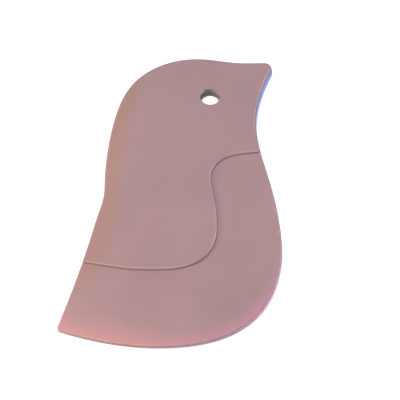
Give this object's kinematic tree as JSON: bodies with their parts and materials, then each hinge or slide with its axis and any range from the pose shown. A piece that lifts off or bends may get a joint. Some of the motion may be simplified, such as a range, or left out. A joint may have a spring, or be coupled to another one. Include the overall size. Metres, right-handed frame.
{
  "type": "bowl scraper",
  "caption": "Flat bird-profile bowl scraper with a raised head and wing grip, a thin flexible blade rim and a hanging hole at the eye.",
  "frame": {"origin": "middle of the footprint, on the surface that the scraper's flat back lies on", "axes": "+Y from the tail end to the head along the length, +X towards the beak and belly, +Z out of the front face"},
  "size_m": [0.0804, 0.1262, 0.0045],
  "materials": {
    "silicone": "glossy dusty-mauve silicone, pinker and slightly translucent where the blade thins",
    "nylon": "natural grey nylon"
  },
  "bodies": {
    "root": {"front_skin": "silicone", "back_skin": "silicone", "stiffener_core": "nylon"}
  },
  "joints": []
}
